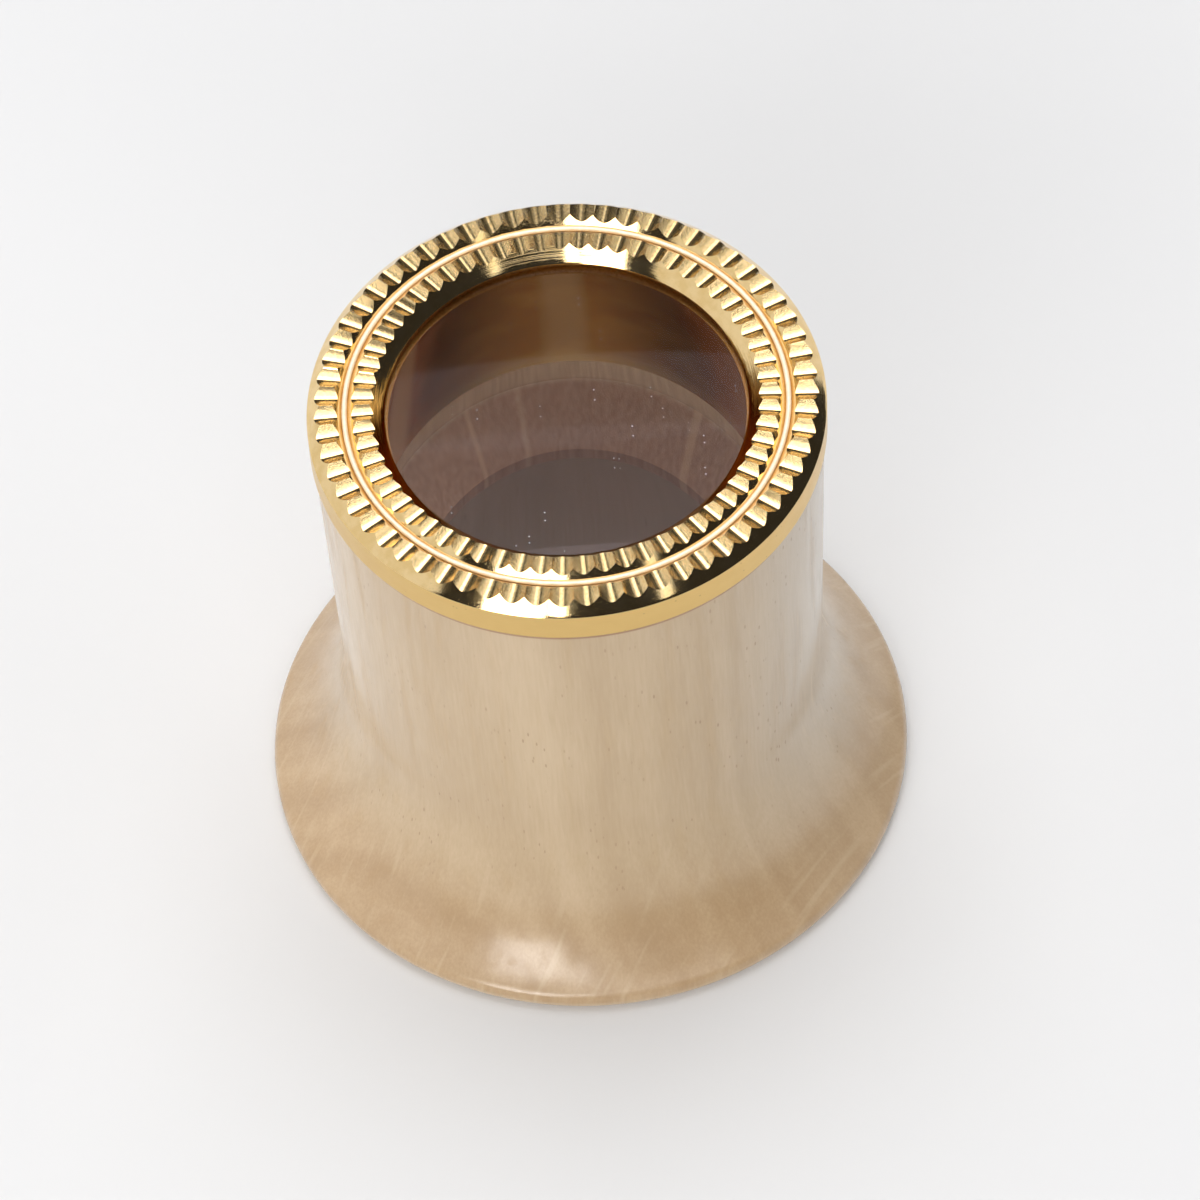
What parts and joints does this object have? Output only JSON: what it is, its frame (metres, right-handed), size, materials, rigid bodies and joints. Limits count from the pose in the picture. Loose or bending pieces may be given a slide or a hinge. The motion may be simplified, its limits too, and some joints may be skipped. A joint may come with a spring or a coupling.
{
  "type": "loupe",
  "caption": "Turned wooden watchmaker's eye loupe: flared eye end, straight neck, and a fluted gilt brass bezel that unscrews with its lens.",
  "frame": {"origin": "middle of the flat rim of the eye end, on the surface that the loupe stands on", "axes": "+Z along the sight axis from the eye end to the bezel, -Y towards the picture's camera, +X to its right"},
  "size_m": [0.035, 0.035, 0.0317],
  "materials": {
    "turned_wood": "pale close-grained wood under a thin satin lacquer",
    "gilt_brass": "polished and gilt, with milled flutes",
    "gilt_wire": "bright polished wire",
    "lens_glass": "clear polished glass",
    "brushed_brass": "finely turned brass"
  },
  "bodies": {
    "cup": {"eyecup_body": "turned_wood"},
    "lens_mount": {"lens": "lens_glass", "lens_tube": "brushed_brass"},
    "bezel": {"bezel_ring": "gilt_brass", "bead_wire": "gilt_wire"}
  },
  "joints": [
    {"name": "bezel_rise", "type": "slide", "parent": "cup", "child": "lens_mount", "axis": [0, 0, 1], "range_m": [0, 0.003]},
    {"name": "bezel_turn", "type": "hinge", "parent": "lens_mount", "child": "bezel", "pos_m": [0, 0, 0.0292], "axis": [0, 0, 1], "range_deg": [0, 1080]}
  ],
  "couplings": [
    {"joint": "bezel_rise", "follows": "bezel_turn", "m_per_rad": 0.00015915}
  ]
}
